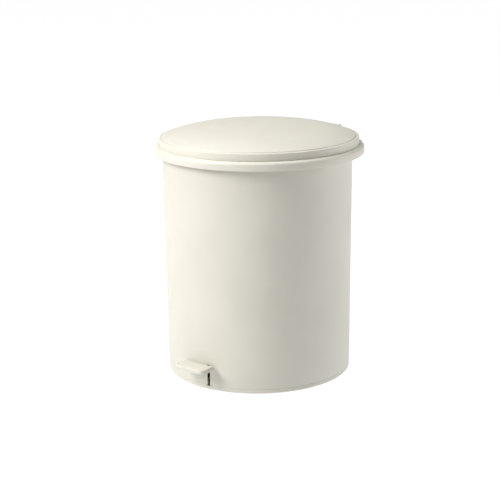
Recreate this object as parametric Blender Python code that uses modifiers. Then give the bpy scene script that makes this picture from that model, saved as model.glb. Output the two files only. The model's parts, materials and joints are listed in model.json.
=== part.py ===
"""Pedal trash can: a round bin with an overhanging collar, a hinged lid, a foot pedal on a lever, a push rod
and a lift-out bucket. Metres, +Z up. The origin is on the floor at the axis of the body. The pedal is at -Y
and the hinge at +Y. The numbers below are millimetres, and placing a mesh scales it to metres."""

import math

import bmesh
import bpy
from mathutils import Matrix

MM = 0.001

# Body and base
BODY_R = 124.2  # outer radius at the floor
BODY_TAPER = 2.5  # how much wider the radius is at the top
BODY_WALL = 1.5
BASE_RIM = 6.5  # height of the base's rim, which the shell stands on
RIM_LOW = 0.7  # clearance of the rim above the floor
FLOOR_LOW = 4.0  # underside of the base's floor
FLOOR_THICK = 2.0
UPSTAND_TALL = 9.0
UPSTAND_WALL = 3.5
FOOT_R = 8.5
FOOT_INSET = 20.2  # from the base's edge to a foot's centre

# Collar
COLLAR_TOP = 308.8
COLLAR_TALL = 11.0
COLLAR_OVERHANG = 13.3
COLLAR_OFFSET = 4.4  # the collar and the lid sit this far behind the body's axis
COLLAR_WALL = 2.6
COLLAR_ROUND = 4.5
PLATE_THICK = 3.0
PLATE_WIDE = 28.0
SPIGOT_DEEP = 22.0
SPIGOT_WALL = 2.4
SPIGOT_PLAY = 1.25

# Lid and hinge
LID_LEDGE = 6.9  # how far the collar shows round the lid
LID_SIDE = 9.8
LID_STEP = 4.4  # width of the flat ledge round the dome
LID_DOME = 14.4
DOME_POWER = 3.4
LID_WALL = 2.0
LID_OPEN = 70.0
HINGE_INSET = 5.4
HINGE_RISE = 2.2
HINGE_HALF = 36.0
KNUCKLE_HALF = 19.5
KNUCKLE_R = 5.0
LID_BACK_GAP = 8.4  # from the hinge axis to the lid's flat back, which sweeps round it
BLOCK_R = 7.9
PIN_R = 2.0
PIN_PLAY = 0.3

# Pedal, lever and axle
PAD_HALF = 24.5
PAD_OUT = 25.0
PAD_TOP = 35.5
PAD_THICK = 6.0
PAD_CORNER = 7.5
PAD_BACK_GAP = 2.8
TONGUE_THICK = 2.4
TONGUE_SHORT = 7.0  # how far the lever's tongue ends behind the pad's front
LEVER_X = 13.0
LEVER_THICK = 3.0
LEVER_TALL = 8.0
LEVER_TILT = 4.3
PIVOT_Y = -30.0
PIVOT_Z = 25.0
AXLE_R = 2.5
AXLE_PLAY = 0.2
BRACKET_THICK = 2.8

# Push rod and its guides
ROD_R = 2.0
ROD_PLAY = 0.4
ROD_ASIDE = 4.5  # from the lever's plane to the rod's straight part
ROD_INSET = 8.2
RING_WALL = 1.3
GUIDE_TALL = 9.0
GUIDE_LOW = 95.0
GUIDE_DROP = 73.8

# Bucket and its bail
BUCKET_ROD_GAP = 13.0
BUCKET_LIP = 4.5
BUCKET_TAPER = 8.0
BUCKET_WALL = 1.6
BUCKET_SHOULDER = 22.0
BUCKET_FLOOR = 2.0
BUCKET_CLEAR = 3.6
BUCKET_PLAY = 2.5
BAIL_R = 1.5
BAIL_DROP = 12.0
BAIL_INSET = 6.0
GRIP_R = 4.2
GRIP_BORE = 1.75

# Clearances and facets
GAP = 0.3
SEAM = 0.7
SEGMENTS = 72

# Values worked out from the driving dimensions
BODY_TOP = COLLAR_TOP - PLATE_THICK - GAP
COLLAR_R = BODY_R + BODY_TAPER + COLLAR_OVERHANG
COLLAR_LOW = COLLAR_TOP - COLLAR_TALL
PLATE_LOW = COLLAR_TOP - PLATE_THICK
PLATE_HOLE = COLLAR_R - PLATE_WIDE
AXIS = (0.0, COLLAR_OFFSET)
FLOOR_TOP = FLOOR_LOW + FLOOR_THICK
LID_R = COLLAR_R - LID_LEDGE
DOME_R = LID_R - LID_STEP
LID_LOW = COLLAR_TOP + GAP
LID_RIM = LID_LOW + LID_SIDE
HINGE_Y = COLLAR_OFFSET + COLLAR_R - HINGE_INSET
HINGE_Z = COLLAR_TOP + HINGE_RISE
HINGE = (HINGE_Y, HINGE_Z)
LID_BACK = HINGE_Y - LID_BACK_GAP
ROD_X = LEVER_X + ROD_ASIDE
ROD_Y = BODY_R - ROD_INSET
ROD_END = LEVER_X - 5.0
ROD_D = HINGE_Y - ROD_Y
RING_R = ROD_R + RING_WALL
HALF_SWING = math.radians(LID_OPEN / 2)
ROD_RISE = 2 * ROD_D * math.tan(HALF_SWING)
ROD_HIGH = HINGE_Z - ROD_D * math.tan(HALF_SWING)
TILT = math.radians(LEVER_TILT)
REAR_ARM = ROD_Y - PIVOT_Y
ROD_LOW = PIVOT_Z - REAR_ARM * math.tan(TILT)
PRESSED = math.atan(ROD_RISE / REAR_ARM - math.tan(TILT))
PIVOT = (LEVER_X, PIVOT_Y, PIVOT_Z)
BUCKET_R = ROD_Y - ROD_R - BUCKET_ROD_GAP
BUCKET_LOW_R = BUCKET_R - BUCKET_TAPER
BUCKET_SEAT = COLLAR_TOP + GAP
BUCKET_LOW = (
    PIVOT_Z
    + (BUCKET_LOW_R - PIVOT_Y) * math.tan(PRESSED)
    + LEVER_TALL / 2 / math.cos(PRESSED)
    + BUCKET_CLEAR
)
BAIL_Z = BUCKET_SEAT - BAIL_DROP
BAIL_ARC = BUCKET_R - BUCKET_WALL - BAIL_INSET

LOOKS = {
    "cream": ((0.80, 0.77, 0.68), 0.42, 0.0),
    "bucket": ((0.42, 0.43, 0.43), 0.5, 0.0),
    "steel": ((0.60, 0.61, 0.62), 0.3, 1.0),
    "black": ((0.03, 0.03, 0.03), 0.7, 0.0),
    "grey": ((0.30, 0.30, 0.29), 0.55, 0.0),
}


def body_r(z):
    """Outer radius of the body at a height."""
    return BODY_R + BODY_TAPER * z / BODY_TOP


PAD_FRONT = -(body_r(PAD_TOP - PAD_THICK) + PAD_OUT)
PAD_BACK_R = body_r(PAD_TOP - PAD_THICK) + PAD_BACK_GAP
TONGUE_FRONT = PAD_FRONT + TONGUE_SHORT
WALL_Y = -(body_r(PAD_TOP - PAD_THICK) + 1.0)


def around(y, z, radius, first, last, step):
    """Points (y, z) on an arc, with the angles in degrees."""
    angles = [math.radians(a) for a in range(first, last, step)]
    return [(y + radius * math.cos(a), z + radius * math.sin(a)) for a in angles]


# ---------------------------------------------------------------- scene, materials and placing


def clear_scene():
    for old in list(bpy.data.objects):
        bpy.data.objects.remove(old, do_unlink=True)


def collection(name, hidden=False):
    made = bpy.data.collections.new(name)
    made.hide_render = hidden
    bpy.context.scene.collection.children.link(made)
    return made


clear_scene()
PARTS = collection("pedal_trash_can")
CUTTERS = collection("cutters", hidden=True)


def material(name):
    """The finish of that name, made once and shared."""
    if name in bpy.data.materials:
        return bpy.data.materials[name]
    colour, rough, metallic = LOOKS[name]
    made = bpy.data.materials.new(name)
    made.use_nodes = True
    shader = made.node_tree.nodes["Principled BSDF"]
    shader.inputs["Base Color"].default_value = (*colour, 1)
    shader.inputs["Roughness"].default_value = rough
    shader.inputs["Metallic"].default_value = metallic
    return made


def place(name, mesh, look=None, origin=(0, 0, 0)):
    """An object from a mesh in millimetres. A piece has a look, and a cutter has none."""
    mesh.transform(Matrix.Scale(MM, 4) @ Matrix.Translation([-v for v in origin]))
    obj = bpy.data.objects.new(name, mesh)
    obj.location = [v * MM for v in origin]
    if look:
        PARTS.objects.link(obj)
        mesh.materials.clear()
        mesh.materials.append(material(look))
    else:
        CUTTERS.objects.link(obj)
        obj.hide_render = True
        obj.display_type = "WIRE"
    return obj


def mesh_from(name, bm):
    mesh = bpy.data.meshes.new(name)
    bm.to_mesh(mesh)
    bm.free()
    return mesh


# ---------------------------------------------------------------- shapes


def lathe(name, profile, look=None, centre=(0, 0), steps=SEGMENTS, along_x=False):
    """A closed profile of (radius, height) turned about a vertical axis, or about an axis along X through
    the (y, z) centre. The profile runs down its outer side."""
    n = len(profile)
    on_axis = [r == 0 for r, _ in profile]
    edges = [(i, (i + 1) % n) for i in range(n) if not (on_axis[i] and on_axis[(i + 1) % n])]
    mesh = bpy.data.meshes.new(name)
    mesh.from_pydata([(r, 0, z) for r, z in profile], edges, [])
    obj = place(name, mesh, look)
    turn = obj.modifiers.new("turn", "SCREW")
    turn.axis = "Z"
    turn.steps = turn.render_steps = steps
    turn.use_merge_vertices = True
    turn.merge_threshold = 0.00001
    turn.use_smooth_shade = False
    if along_x:
        obj.rotation_euler = (0, math.pi / 2, 0)
        obj.location = (0, centre[0] * MM, centre[1] * MM)
    else:
        obj.location = (centre[0] * MM, centre[1] * MM, 0)
    return obj


def box(name, low, high):
    """A block cutter between two corners."""
    size = [b - a for a, b in zip(low, high)]
    middle = [(a + b) / 2 for a, b in zip(low, high)]
    bm = bmesh.new()
    bmesh.ops.create_cube(bm, size=1, matrix=Matrix.Translation(middle) @ Matrix.Diagonal((*size, 1)))
    return place(name, mesh_from(name, bm))


def rod_x(name, centre, radius, x0, x1, look=None, sides=20, origin=(0, 0, 0)):
    """A round bar along X through the (y, z) centre."""
    turn = Matrix.Rotation(math.pi / 2, 4, "Y")
    middle = Matrix.Translation(((x0 + x1) / 2, *centre))
    bm = bmesh.new()
    bmesh.ops.create_cone(
        bm, cap_ends=True, segments=sides, radius1=radius, radius2=radius, depth=x1 - x0, matrix=middle @ turn
    )
    return place(name, mesh_from(name, bm), look, origin)


def curve_mesh(name, curve, points, cyclic):
    """The mesh of a curve through the points, with its loose caps welded."""
    spline = curve.splines.new("POLY")
    spline.points.add(len(points) - 1)
    for point, place_at in zip(spline.points, points):
        point.co = (*place_at, 1)
    spline.use_cyclic_u = cyclic
    guide = bpy.data.objects.new(name, curve)
    CUTTERS.objects.link(guide)
    graph = bpy.context.evaluated_depsgraph_get()
    mesh = bpy.data.meshes.new_from_object(guide.evaluated_get(graph))
    bpy.data.objects.remove(guide)
    bm = bmesh.new()
    bm.from_mesh(mesh)
    bmesh.ops.remove_doubles(bm, verts=bm.verts, dist=0.0001)
    bmesh.ops.recalc_face_normals(bm, faces=bm.faces)
    bpy.data.meshes.remove(mesh)
    return mesh_from(name, bm)


def prism(name, outline, low, high, axis, look=None, origin=(0, 0, 0)):
    """A flat outline extruded along X, as (y, z) points, or along Z, as (x, y) points."""
    curve = bpy.data.curves.new(name, "CURVE")
    curve.dimensions = "2D"
    curve.fill_mode = "BOTH"
    curve.extrude = (high - low) / 2
    mesh = curve_mesh(name, curve, [(a, b, 0) for a, b in outline], True)
    mesh.transform(Matrix.Translation((0, 0, (low + high) / 2)))
    if axis == "x":
        mesh.transform(Matrix(((0, 0, 1, 0), (1, 0, 0, 0), (0, 1, 0, 0), (0, 0, 0, 1))))
    return place(name, mesh, look, origin)


def wire(name, path, radius, sides, look=None, origin=(0, 0, 0)):
    """A round wire along a path, with 8, 10 or 12 sides."""
    curve = bpy.data.curves.new(name, "CURVE")
    curve.dimensions = "3D"
    curve.bevel_depth = radius
    curve.bevel_resolution = (sides - 4) // 2
    curve.use_fill_caps = True
    return place(name, curve_mesh(name, curve, path, False), look, origin)


def ring_x(name, centre, pin_r, outer_r, x0, x1):
    """A push-on ring on a pin along X. Its faceted bore clears the pin."""
    sides = 16
    bore = (pin_r + 0.03) / math.cos(math.pi / sides)
    return lathe(name, [(outer_r, x1), (outer_r, x0), (bore, x0), (bore, x1)], "black", centre, sides, True)


def boolean(obj, other, operation="DIFFERENCE"):
    step = obj.modifiers.new(other.name, "BOOLEAN")
    step.operation = operation
    step.solver = "EXACT"
    step.object = other


# ---------------------------------------------------------------- body


def outer_shell():
    """Body wall with the slit that the lever passes through and a notch for the lid's lug."""
    low = BASE_RIM + GAP
    shell = lathe("outer_shell", [
        (body_r(BODY_TOP), BODY_TOP), (body_r(low), low),
        (body_r(low) - BODY_WALL, low), (body_r(BODY_TOP) - BODY_WALL, BODY_TOP),
    ], "cream")
    half = LEVER_THICK / 2 + SEAM
    outside = BODY_R + 16
    slit_top = PAD_TOP - SEAM
    boolean(shell, box("slit", (LEVER_X - half, -outside, 0), (LEVER_X + half, -BODY_R + 24, slit_top)))
    half = LEVER_THICK / 2 + 0.9
    low = HINGE_Z - 18.0
    boolean(shell, box("lug_notch", (LEVER_X - half, ROD_Y, low), (LEVER_X + half, outside, BODY_TOP + 15)))


def base_plate():
    """Floor with a rim under the shell, an upstand inside it and two brackets for the pedal axle."""
    upstand = BODY_R - 2.0
    rim_inside = BODY_R - 4.0
    top = FLOOR_TOP + UPSTAND_TALL
    base = lathe("base_plate", [
        (0, FLOOR_TOP), (upstand - UPSTAND_WALL, FLOOR_TOP), (upstand - UPSTAND_WALL, top), (upstand, top),
        (upstand, BASE_RIM), (BODY_R, BASE_RIM), (BODY_R - 0.1, RIM_LOW + 1.3), (BODY_R - 1.2, RIM_LOW),
        (rim_inside, RIM_LOW), (rim_inside, FLOOR_LOW), (0, FLOOR_LOW),
    ], "cream")
    foot, shoulder, head = FLOOR_TOP - 0.6, PIVOT_Z + 4, PIVOT_Z + 6
    outline = [
        (PIVOT_Y - 11, foot), (PIVOT_Y + 11, foot), (PIVOT_Y + 6, shoulder),
        (PIVOT_Y + 3, head), (PIVOT_Y - 3, head), (PIVOT_Y - 6, shoulder),
    ]
    play = LEVER_THICK / 2 + SEAM
    for tag, x0 in (("left", LEVER_X - play - BRACKET_THICK), ("right", LEVER_X + play)):
        boolean(base, prism("bracket_" + tag, outline, x0, x0 + BRACKET_THICK, "x"), "UNION")
    boolean(base, rod_x("axle_hole", PIVOT[1:], AXLE_R + AXLE_PLAY, LEVER_X - 12, LEVER_X + 12))
    half = LEVER_THICK / 2 + 2.5
    out, way_top = BODY_R + 16, PIVOT_Z + 5
    boolean(base, box("front_way_in_rim", (LEVER_X - half, -out, 5.4), (LEVER_X + half, 5 - BODY_R, way_top)))
    inside = (LEVER_X + half, 24 - BODY_R, way_top)
    boolean(base, box("front_way_in_upstand", (LEVER_X - half, 4.7 - BODY_R, FLOOR_TOP), inside))
    rear = (ROD_X + RING_R + 3.7, out, way_top)
    boolean(base, box("rear_way_in_upstand", (ROD_END - 4, ROD_Y - 21, FLOOR_TOP + 0.01), rear))


def feet():
    """Four round rubber feet pushed up against the base's floor."""
    top = FLOOR_LOW - GAP
    profile = [(0, top), (FOOT_R, top), (FOOT_R, 0.6), (FOOT_R - 0.6, 0.0), (0, 0.0)]
    reach = BODY_R - FOOT_INSET
    for k in range(4):
        a = math.radians(45 + 90 * k)
        lathe("foot_%d" % (k + 1), profile, "black", (reach * math.cos(a), reach * math.sin(a)), 24)


# ---------------------------------------------------------------- collar


def collar_ring():
    """Overhanging collar, the seat for the bucket, the hinge blocks and the way through for rod and lug."""
    spigot = body_r(COLLAR_TOP - SPIGOT_DEEP) - BODY_WALL - COLLAR_OFFSET - SPIGOT_PLAY
    spigot_low = COLLAR_TOP - SPIGOT_DEEP
    lip = COLLAR_R - COLLAR_WALL
    angles = [math.radians(a) for a in (0, 22.5, 45, 67.5, 90)]
    turned = [(math.sin(a) - 1, math.cos(a) - 1) for a in angles]
    shoulder = [(COLLAR_R + COLLAR_ROUND * r, COLLAR_TOP + COLLAR_ROUND * z) for r, z in turned]
    collar = lathe("collar_ring", shoulder + [
        (COLLAR_R, COLLAR_LOW), (lip, COLLAR_LOW), (lip, PLATE_LOW - 2.5), (lip - 2.4, PLATE_LOW),
        (spigot, PLATE_LOW), (spigot, spigot_low), (spigot - SPIGOT_WALL, spigot_low),
        (spigot - SPIGOT_WALL, PLATE_LOW), (PLATE_HOLE, PLATE_LOW), (PLATE_HOLE, COLLAR_TOP),
    ], "cream", AXIS)
    hole = BUCKET_R + BUCKET_PLAY
    seat_r = PLATE_HOLE + COLLAR_OFFSET + 1.1
    seat = [(seat_r, COLLAR_TOP), (seat_r, PLATE_LOW), (hole, PLATE_LOW), (hole, COLLAR_TOP)]
    boolean(collar, lathe("bucket_seat", seat), "UNION")
    foot = COLLAR_TOP - 5.8
    outline = [
        (HINGE_Y - BLOCK_R, foot), (HINGE_Y + 3.6, foot), (HINGE_Y + 7.5, foot + 3.5),
        (HINGE_Y + BLOCK_R, HINGE_Z - 1),
    ] + around(*HINGE, BLOCK_R, 0, 181, 15)
    knuckle = KNUCKLE_HALF + 0.6
    for tag, x0, x1 in (("left", -HINGE_HALF, -knuckle), ("right", knuckle, HINGE_HALF)):
        boolean(collar, prism("hinge_block_" + tag, outline, x0, x1, "x"), "UNION")
    rear = (knuckle, HINGE_Y + 20, HINGE_Z + 20)
    boolean(collar, box("knuckle_way", (-knuckle, HINGE_Y - 7.0, HINGE_Z - 6.2), rear))
    lug_rear = (ROD_X + ROD_R + 1.6, HINGE_Y - 8.0, HINGE_Z + 10)
    boolean(collar, box("lug_way", (ROD_END - 1.4, ROD_Y - 9.8, HINGE_Z - 40), lug_rear))
    for tag, side in (("left", -1), ("right", 1)):
        xs = sorted((side * HINGE_HALF, side * (HINGE_HALF + 2.4)))
        cut = box("cap_way_" + tag, (xs[0], HINGE_Y - 4.2, HINGE_Z - 4), (xs[1], HINGE_Y + 4.2, HINGE_Z + 9))
        boolean(collar, cut)
    boolean(collar, rod_x("pin_way", HINGE, PIN_R + PIN_PLAY, -HINGE_HALF - 24, HINGE_HALF + 24))


# ---------------------------------------------------------------- lid


def dome(r):
    """Height of the lid's outer surface at a distance from its centre."""
    return LID_RIM + 1.0 + LID_DOME * (1 - (r / DOME_R) ** DOME_POWER)


def hinge_point(r, s):
    """(y, z) at r from the hinge axis towards the rod and s across that line, with the lid shut."""
    c, d = math.cos(HALF_SWING), math.sin(HALF_SWING)
    return (HINGE_Y - r * c - s * d, HINGE_Z - r * d + s * c)


def lid_dome():
    """Side wall, ledge and dome, with the rear cut flat and closed by a wall in front of the hinge."""
    shares = (0, 0.17, 0.34, 0.48, 0.61, 0.72, 0.81, 0.89, 0.953, 0.995)
    under = LID_RIM - LID_WALL
    side = LID_R - LID_WALL
    outer = [(DOME_R * f, dome(DOME_R * f)) for f in shares]
    edge = [
        (DOME_R, LID_RIM), (LID_R - 1.2, LID_RIM), (LID_R - 0.3, LID_RIM - 0.4), (LID_R, LID_RIM - 1.3),
        (LID_R, LID_LOW), (side, LID_LOW), (side, under), (DOME_R - 1.5, under),
    ]
    inner = [(DOME_R * f, dome(DOME_R * f) - LID_WALL) for f in (0.953, 0.86, 0.74, 0.61, 0.43, 0.22, 0)]
    lid = lathe("lid", outer + edge + inner, "cream", AXIS)
    half = HINGE_HALF + 1.5
    boolean(lid, box("rear_cut", (-half, LID_BACK, LID_LOW - 10), (half, LID_BACK + 40, LID_RIM + 30)))
    half = HINGE_HALF + 1.4
    inside = LID_BACK - LID_WALL
    back = box("rear_wall", (-half, inside, LID_LOW), (half, LID_BACK - 0.02, LID_RIM - 0.5))
    boolean(lid, back, "UNION")
    return lid


def lid():
    """The lid with its knuckle on the hinge and the slotted lug that the rod pushes."""
    made = lid_dome()
    web = [(LID_BACK - 1.0, HINGE_Z + 5.0), (LID_BACK - 1.0, HINGE_Z - 1.0), (HINGE_Y - 3.4, HINGE_Z - 3.6)]
    web += around(*HINGE, KNUCKLE_R, -120, 91, 21)
    boolean(made, prism("lid_knuckle", web, -KNUCKLE_HALF, KNUCKLE_HALF, "x"), "UNION")
    reach = ROD_R + 0.6
    near, far = ROD_D - reach, ROD_D / math.cos(HALF_SWING) + reach
    half = ROD_R + 1.1
    lug_back = LID_BACK - LID_WALL - 1.2
    lug_front = hinge_point(far + 1.6, half + 1.9)[0] + 0.7
    lug_top = [
        (y, dome(math.hypot(LEVER_X, y - COLLAR_OFFSET)) - LID_WALL / 2)
        for y in (lug_back, (lug_back + lug_front) / 2, lug_front)
    ]
    lug = [hinge_point(near - 1.8, -half - 2.3), (lug_back, HINGE_Z - 8.5)] + lug_top
    lug += [hinge_point(far + 1.6, half + 1.9), hinge_point(far + 1.6, -half - 2.3)]
    thick = LEVER_THICK / 2
    boolean(made, prism("lid_lug", lug, LEVER_X - thick, LEVER_X + thick, "x"), "UNION")
    corner = 1.3
    slot = [
        hinge_point(near, half), hinge_point(near, -half), hinge_point(far - corner, -half),
        hinge_point(far, corner - half), hinge_point(far, half - corner), hinge_point(far - corner, half),
    ]
    boolean(made, prism("lug_slot", slot, LEVER_X - 5, LEVER_X + 5, "x"))
    boolean(made, rod_x("lid_pin_way", HINGE, PIN_R + PIN_PLAY, -HINGE_HALF - 24, HINGE_HALF + 24))


def lid_stops():
    """Three rubber stops under the lid's ledge."""
    top = LID_RIM - LID_WALL - GAP
    profile = [(0, top), (2.6, top), (3.4, top - 0.9), (3.4, LID_LOW), (0, LID_LOW)]
    reach = LID_R - LID_WALL - 4.8
    for k in range(3):
        a = math.radians(-150 + 60 * k)
        centre = (reach * math.cos(a), reach * math.sin(a) + COLLAR_OFFSET)
        lathe("lid_stop_%d" % (k + 1), profile, "black", centre, 16)


def hinge():
    """Hinge pin with a push-on cap at each end."""
    rod_x("hinge_pin", HINGE, PIN_R, -HINGE_HALF - 1.8, HINGE_HALF + 1.8, "steel")
    low, high = HINGE_HALF + GAP, HINGE_HALF + 1.7
    ring_x("pin_cap_left", HINGE, PIN_R, PIN_R + 1.6, -high, -low)
    ring_x("pin_cap_right", HINGE, PIN_R, PIN_R + 1.6, low, high)


# ---------------------------------------------------------------- pedal


def lever_point(along, across):
    """(y, z) on the lever at rest, measured from the pivot towards the rear and upwards."""
    c, s = math.cos(TILT), math.sin(TILT)
    return (PIVOT_Y + along * c + across * s, PIVOT_Z - along * s + across * c)


def pedal_lever():
    """Flat lever on edge, with a boss at the axle, a slot for the rod and a tongue for the pad."""
    half = LEVER_TALL / 2
    rear = REAR_ARM / math.cos(TILT)
    end = rear + ROD_R + 3.2
    tongue_top = PAD_TOP - 2.2
    tongue_low = tongue_top - TONGUE_THICK
    rules = [
        (WALL_Y - PIVOT_Y, -half), (-9, -half), (-6, -half - 2.4), (6, -half - 2.4), (9, -half), (end, -half),
        (end, half), (9, half), (6, half + 1.6), (-6, half + 1.6), (-9, half),
    ]
    outline = [lever_point(along, across) for along, across in rules]
    outline += [(WALL_Y, tongue_top), (TONGUE_FRONT, tongue_top)]
    outline += [(TONGUE_FRONT, tongue_low), (WALL_Y, tongue_low)]
    thick = LEVER_THICK / 2
    lever = prism("pedal_lever", outline, LEVER_X - thick, LEVER_X + thick, "x", "steel", PIVOT)
    boolean(lever, rod_x("lever_axle_hole", PIVOT[1:], AXLE_R + AXLE_PLAY, LEVER_X - 9, LEVER_X + 9))
    tall, wide, corner = ROD_R + ROD_PLAY, ROD_R + 1.4, 1.3
    slot = [
        (-wide, tall - corner), (-wide, corner - tall), (corner - wide, -tall), (wide - corner, -tall),
        (wide, corner - tall), (wide, tall - corner), (wide - corner, tall), (corner - wide, tall),
    ]
    outline = [lever_point(rear + along, across) for along, across in slot]
    boolean(lever, prism("lever_rear_slot", outline, LEVER_X - 9, LEVER_X + 9, "x"))


def pedal_axle():
    """Axle between the brackets with a push-on ring at each end."""
    low = LEVER_THICK / 2 + SEAM + BRACKET_THICK + 0.4
    high = low + 1.5
    end = high + GAP
    rod_x("pedal_axle", PIVOT[1:], AXLE_R, LEVER_X - end, LEVER_X + end, "steel")
    ring_x("axle_ring_left", PIVOT[1:], AXLE_R, AXLE_R + 2.1, LEVER_X - high, LEVER_X - low)
    ring_x("axle_ring_right", PIVOT[1:], AXLE_R, AXLE_R + 2.1, LEVER_X + low, LEVER_X + high)


def pedal_pad():
    """Pad with round front corners, a back that follows the body and a pocket for the lever's tongue."""
    reach = PAD_HALF - PAD_CORNER
    plan = around(reach, PAD_FRONT + PAD_CORNER, PAD_CORNER, -90, 1, 15)
    xs = [PAD_HALF * (1 - k / 4) for k in range(9)]
    plan += [(x, -math.sqrt(PAD_BACK_R**2 - x**2)) for x in xs]
    plan += around(-reach, PAD_FRONT + PAD_CORNER, PAD_CORNER, 180, 271, 15)
    pad = prism("pedal_pad", plan, PAD_TOP - PAD_THICK, PAD_TOP, "z", "cream", PIVOT)
    edge = pad.modifiers.new("soft_edge", "BEVEL")
    edge.width = 1.2 * MM
    edge.segments = 2
    edge.limit_method = "ANGLE"
    edge.angle_limit = math.radians(50)
    play = LEVER_THICK / 2 + 0.2
    top = PAD_TOP - 2.2 + GAP
    low = top - TONGUE_THICK - 2 * GAP
    corner = (LEVER_X + play, 5 - PAD_BACK_R, top)
    boolean(pad, box("pad_pocket", (LEVER_X - play, TONGUE_FRONT - GAP, low), corner))


# ---------------------------------------------------------------- push rod


def bent(points, radius):
    """The path with each right-angled corner rounded in four steps."""
    path = [points[0]]
    for a, p, b in zip(points, points[1:], points[2:]):
        u = [(a[i] - p[i]) / math.dist(a, p) for i in range(3)]
        v = [(b[i] - p[i]) / math.dist(b, p) for i in range(3)]
        centre = [p[i] + radius * (u[i] + v[i]) for i in range(3)]
        for j in range(5):
            t = math.radians(90 * j / 4)
            path.append([centre[i] - radius * (v[i] * math.cos(t) + u[i] * math.sin(t)) for i in range(3)])
    return path + [points[-1]]


def push_rod():
    """Wire bent across at both ends, with a push-on ring on each end."""
    corners = [(ROD_END, ROD_LOW), (ROD_X, ROD_LOW), (ROD_X, ROD_HIGH), (ROD_END, ROD_HIGH)]
    path = bent([(x, ROD_Y, z) for x, z in corners], 2.2)
    wire("push_rod", path, ROD_R, 12, "steel", (ROD_X, ROD_Y, ROD_LOW))
    for tag, z in (("lower", ROD_LOW), ("upper", ROD_HIGH)):
        ring_x("rod_ring_" + tag, (ROD_Y, z), ROD_R, RING_R, ROD_END + 0.4, ROD_END + 1.8)


def rod_guides():
    """Two blocks against the inside of the shell, each with a hole for the rod."""
    for tag, z in (("lower", GUIDE_LOW), ("upper", COLLAR_TOP - GUIDE_DROP)):
        inside = body_r(z) - BODY_WALL - GAP - 0.05
        front = ROD_Y - ROD_R - 0.5
        xs = [ROD_X + 8.5 * share for share in (1, 0.5, 0, -0.5, -1)]
        outline = [(xs[-1], front), (xs[0], front)] + [(x, math.sqrt(inside**2 - x**2)) for x in xs]
        guide = prism("rod_guide_" + tag, outline, z, z + GUIDE_TALL, "z", "grey")
        hole = around(ROD_X, ROD_Y, ROD_R + ROD_PLAY, 0, 360, 30)
        boolean(guide, prism("rod_guide_hole_" + tag, hole, z - 5, z + GUIDE_TALL + 5, "z"))


# ---------------------------------------------------------------- bucket


def inner_bucket():
    """Tapered bucket that hangs by its flange in the collar, with a rounded corner at its floor."""
    shoulder = BUCKET_SEAT - BUCKET_SHOULDER
    top = BUCKET_SEAT + 2.0
    flange = BUCKET_R + BUCKET_LIP
    floor = BUCKET_LOW + BUCKET_FLOOR
    corner = 2.6
    low_inside = BUCKET_LOW_R - BUCKET_WALL - 0.2
    turned = [(math.sin(a), math.cos(a)) for a in (math.radians(30 * k) for k in range(4))]
    fillet = [(low_inside - corner * (1 - s), floor + corner * (1 - c)) for s, c in turned]
    bucket = lathe("inner_bucket", [
        (flange, top), (flange, BUCKET_SEAT), (BUCKET_R, BUCKET_SEAT), (BUCKET_R, shoulder),
        (BUCKET_LOW_R, BUCKET_LOW + 4), (BUCKET_LOW_R - 4, BUCKET_LOW), (0, BUCKET_LOW), (0, floor),
    ] + fillet + [(BUCKET_R - BUCKET_WALL, shoulder), (BUCKET_R - BUCKET_WALL, top)], "bucket")
    reach = BUCKET_R + 29
    boolean(bucket, rod_x("bail_holes", (0, BAIL_Z), BAIL_R + 0.5, -reach, reach, sides=16))


def bucket_bail():
    """Wire bail lying inside the bucket's mouth, with a grip at its middle."""

    def arc(first, last):
        return [(x, y, BAIL_Z) for x, y in around(0, 0, BAIL_ARC, first, last, -8)]

    ends = [(BUCKET_R + 1.6, 0), (BUCKET_R - 4.0, 0), (BUCKET_R - 6.4, -1.2), (BAIL_ARC + 0.4, -6)]
    right = [(x, y, BAIL_Z) for x, y in ends]
    left = [(-x, y, BAIL_Z) for x, y in reversed(ends)]
    wire("bucket_bail", right + arc(-10, -171) + left, BAIL_R, 8, "steel", (0, 0, BAIL_Z))
    grip = wire("bail_grip", arc(-66, -115), GRIP_R, 12, "grey", (0, 0, BAIL_Z))
    boolean(grip, wire("grip_bore", arc(-58, -123), GRIP_BORE, 12))


outer_shell()
base_plate()
feet()
collar_ring()
lid()
lid_stops()
hinge()
pedal_lever()
pedal_axle()
pedal_pad()
push_rod()
rod_guides()
inner_bucket()
bucket_bail()
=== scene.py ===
"""Pedal trash can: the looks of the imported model, laid out as a Blender add-on and run as a script."""

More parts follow.
